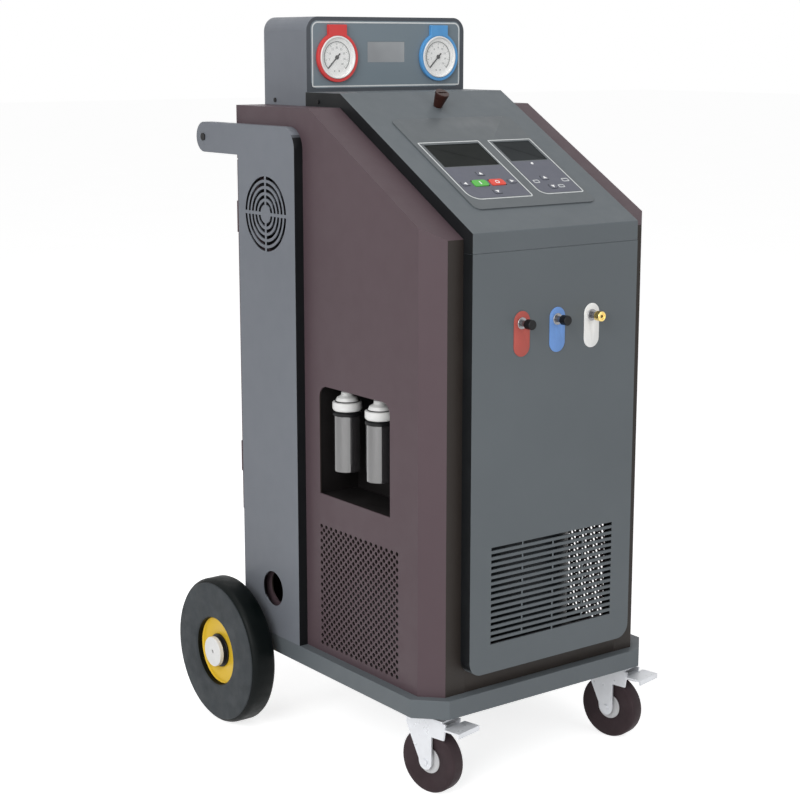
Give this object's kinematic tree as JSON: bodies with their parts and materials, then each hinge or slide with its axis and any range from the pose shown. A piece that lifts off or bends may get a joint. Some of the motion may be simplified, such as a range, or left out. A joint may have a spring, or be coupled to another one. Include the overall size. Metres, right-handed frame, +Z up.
{
  "type": "air conditioning recharge station",
  "caption": "Wheeled service cabinet with a sloped control console, a gauge pod, hose ports, oil bottles in a side recess, rear handle arms, large rear wheels and braked front castors.",
  "frame": {"origin": "centre of the bounding box on the floor", "axes": "+Z up, -Y towards the front with the console, +X to the viewer's right when facing the front"},
  "size_m": [0.594, 0.654, 1.136],
  "materials": {
    "painted_grey": "satin",
    "painted_brown": "satin",
    "plate_grey": "satin",
    "face_grey": "satin",
    "dark_display": "gloss",
    "pale_display": "satin",
    "green_plastic": "satin",
    "red_plastic": "satin",
    "blue_plastic": "satin",
    "white_plastic": "satin",
    "black_plastic": "satin",
    "dark_brown_plastic": "satin",
    "dial_white": "satin",
    "clear_glass": "gloss",
    "brass": "polished",
    "dark_recess": "matt",
    "clear_bottle": "gloss",
    "aluminium": "brushed",
    "zinc": "satin",
    "black_rubber": "matt",
    "castor_rubber": "matt",
    "hub_yellow": "satin",
    "axle_steel": "satin",
    "tank_paint": "satin",
    "cast_black": "matt"
  },
  "bodies": {
    "station": {"base_tray": "painted_grey", "left_side_column": "painted_grey", "right_side_column": "painted_grey", "left_side_panel": "painted_brown", "right_side_panel": "painted_brown", "inner_frame": "dark_recess", "rear_panel": "painted_brown", "front_panel": "painted_grey", "console_housing": "painted_grey", "console_plate": "plate_grey", "console_displays": "dark_display", "gauge_pod": "painted_grey", "pod_faceplate": "face_grey", "pod_display": "pale_display", "high_gauge_collar": "red_plastic", "low_gauge_collar": "blue_plastic", "gauge_dials": "dial_white", "gauge_lenses": "clear_glass", "port_labels": "white_plastic", "port_fittings": "brass", "bottle_recess": "dark_recess", "bottle_lids": "white_plastic", "condenser_unit": "aluminium", "handle_bar": "painted_grey", "cover_screws": "zinc", "rear_axle": "axle_steel", "axle_caps": "white_plastic", "castor_plates": "zinc", "power_inlet": "black_plastic", "refrigerant_tank": "tank_paint", "vacuum_pump": "cast_black", "compressor": "cast_black"},
    "rear_door": {"rear_door": "painted_brown"},
    "start_key": {"start_key": "green_plastic"},
    "stop_key": {"stop_key": "red_plastic"},
    "up_key": {"up_key": "white_plastic"},
    "down_key": {"down_key": "white_plastic"},
    "left_key": {"left_key": "white_plastic"},
    "right_key": {"right_key": "white_plastic"},
    "raise_key": {"raise_key": "white_plastic"},
    "lower_key": {"lower_key": "white_plastic"},
    "console_knob": {"console_knob": "dark_brown_plastic"},
    "high_gauge_needle": {"high_gauge_needle": "black_plastic"},
    "low_gauge_needle": {"low_gauge_needle": "black_plastic"},
    "red_port_cap": {"red_port_cap": "black_plastic"},
    "blue_port_cap": {"blue_port_cap": "black_plastic"},
    "front_oil_bottle": {"front_oil_bottle": "clear_bottle"},
    "rear_oil_bottle": {"rear_oil_bottle": "clear_bottle"},
    "fan_rotor": {"fan_rotor": "black_plastic"},
    "left_rear_wheel": {"left_rear_tyre": "black_rubber", "left_rear_hub": "hub_yellow"},
    "right_rear_wheel": {"right_rear_tyre": "black_rubber", "right_rear_hub": "hub_yellow"},
    "left_castor_swivel": {"left_castor_fork": "zinc"},
    "left_castor_roller": {"left_castor_wheel": "castor_rubber"},
    "left_brake": {"left_brake_pedal": "zinc"},
    "right_castor_swivel": {"right_castor_fork": "zinc"},
    "right_castor_roller": {"right_castor_wheel": "castor_rubber"},
    "right_brake": {"right_brake_pedal": "zinc"},
    "rocker": {"rocker_switch": "red_plastic"}
  },
  "joints": [
    {"name": "rear_door_hinge", "type": "hinge", "parent": "station", "child": "rear_door", "pos_m": [-0.209, 0.234, 0.6275], "axis": [0, 0, 1], "range_deg": [0, 90]},
    {"name": "start_key_press", "type": "slide", "parent": "station", "child": "start_key", "axis": [0, 0.5, -0.866], "range_m": [0, 0.001], "stiffness_N_per_m": 600},
    {"name": "stop_key_press", "type": "slide", "parent": "station", "child": "stop_key", "axis": [0, 0.5, -0.866], "range_m": [0, 0.001], "stiffness_N_per_m": 600},
    {"name": "up_key_press", "type": "slide", "parent": "station", "child": "up_key", "axis": [0, 0.5, -0.866], "range_m": [0, 0.001], "stiffness_N_per_m": 600},
    {"name": "down_key_press", "type": "slide", "parent": "station", "child": "down_key", "axis": [0, 0.5, -0.866], "range_m": [0, 0.001], "stiffness_N_per_m": 600},
    {"name": "left_key_press", "type": "slide", "parent": "station", "child": "left_key", "axis": [0, 0.5, -0.866], "range_m": [0, 0.001], "stiffness_N_per_m": 600},
    {"name": "right_key_press", "type": "slide", "parent": "station", "child": "right_key", "axis": [0, 0.5, -0.866], "range_m": [0, 0.001], "stiffness_N_per_m": 600},
    {"name": "raise_key_press", "type": "slide", "parent": "station", "child": "raise_key", "axis": [0, 0.5, -0.866], "range_m": [0, 0.001], "stiffness_N_per_m": 600},
    {"name": "lower_key_press", "type": "slide", "parent": "station", "child": "lower_key", "axis": [0, 0.5, -0.866], "range_m": [0, 0.001], "stiffness_N_per_m": 600},
    {"name": "console_knob_turn", "type": "hinge", "parent": "station", "child": "console_knob", "pos_m": [0, -0.01281, 1.0005], "axis": [0, -0.5, 0.866], "range_deg": [0, 90]},
    {"name": "high_gauge_sweep", "type": "hinge", "parent": "station", "child": "high_gauge_needle", "pos_m": [-0.1, 0.114, 1.074], "axis": [0, 1, 0], "range_deg": [0, 270], "stiffness_Nm_per_rad": 0.0004},
    {"name": "low_gauge_sweep", "type": "hinge", "parent": "station", "child": "low_gauge_needle", "pos_m": [0.1, 0.114, 1.074], "axis": [0, 1, 0], "range_deg": [0, 270], "stiffness_Nm_per_rad": 0.0004},
    {"name": "red_cap_pull", "type": "slide", "parent": "station", "child": "red_port_cap", "axis": [0, -1, 0], "range_m": [0, 0.022]},
    {"name": "blue_cap_pull", "type": "slide", "parent": "station", "child": "blue_port_cap", "axis": [0, -1, 0], "range_m": [0, 0.022]},
    {"name": "front_bottle_drop", "type": "slide", "parent": "station", "child": "front_oil_bottle", "axis": [0, 0, -1], "range_m": [0, 0.036]},
    {"name": "rear_bottle_drop", "type": "slide", "parent": "station", "child": "rear_oil_bottle", "axis": [0, 0, -1], "range_m": [0, 0.036]},
    {"name": "fan_spin", "type": "hinge", "parent": "station", "child": "fan_rotor", "pos_m": [-0.2, 0.1225, 0.837], "axis": [1, 0, 0], "continuous": true},
    {"name": "left_rear_wheel_roll", "type": "hinge", "parent": "station", "child": "left_rear_wheel", "pos_m": [-0.2693, 0.2, 0.1195], "axis": [1, 0, 0], "continuous": true},
    {"name": "right_rear_wheel_roll", "type": "hinge", "parent": "station", "child": "right_rear_wheel", "pos_m": [0.2693, 0.2, 0.1195], "axis": [1, 0, 0], "continuous": true},
    {"name": "left_castor_turn", "type": "hinge", "parent": "station", "child": "left_castor_swivel", "pos_m": [-0.183, -0.201, 0.124], "axis": [0, 0, 1], "continuous": true},
    {"name": "left_castor_roll", "type": "hinge", "parent": "left_castor_swivel", "child": "left_castor_roller", "pos_m": [-0.17614, -0.23328, 0.05], "axis": [0.9781, 0.2079, 0], "continuous": true},
    {"name": "left_brake_press", "type": "hinge", "parent": "left_castor_swivel", "child": "left_brake", "pos_m": [-0.16928, -0.26556, 0.107], "axis": [0.9781, 0.2079, 0], "range_deg": [0, 12]},
    {"name": "right_castor_turn", "type": "hinge", "parent": "station", "child": "right_castor_swivel", "pos_m": [0.183, -0.201, 0.124], "axis": [0, 0, 1], "continuous": true},
    {"name": "right_castor_roll", "type": "hinge", "parent": "right_castor_swivel", "child": "right_castor_roller", "pos_m": [0.18986, -0.23328, 0.05], "axis": [0.9781, 0.2079, 0], "continuous": true},
    {"name": "right_brake_press", "type": "hinge", "parent": "right_castor_swivel", "child": "right_brake", "pos_m": [0.19672, -0.26556, 0.107], "axis": [0.9781, 0.2079, 0], "range_deg": [0, 12]},
    {"name": "rocker_tilt", "type": "hinge", "parent": "station", "child": "rocker", "pos_m": [0.11, 0.218, 0.273], "axis": [1, 0, 0], "range_deg": [-8, 8]}
  ]
}
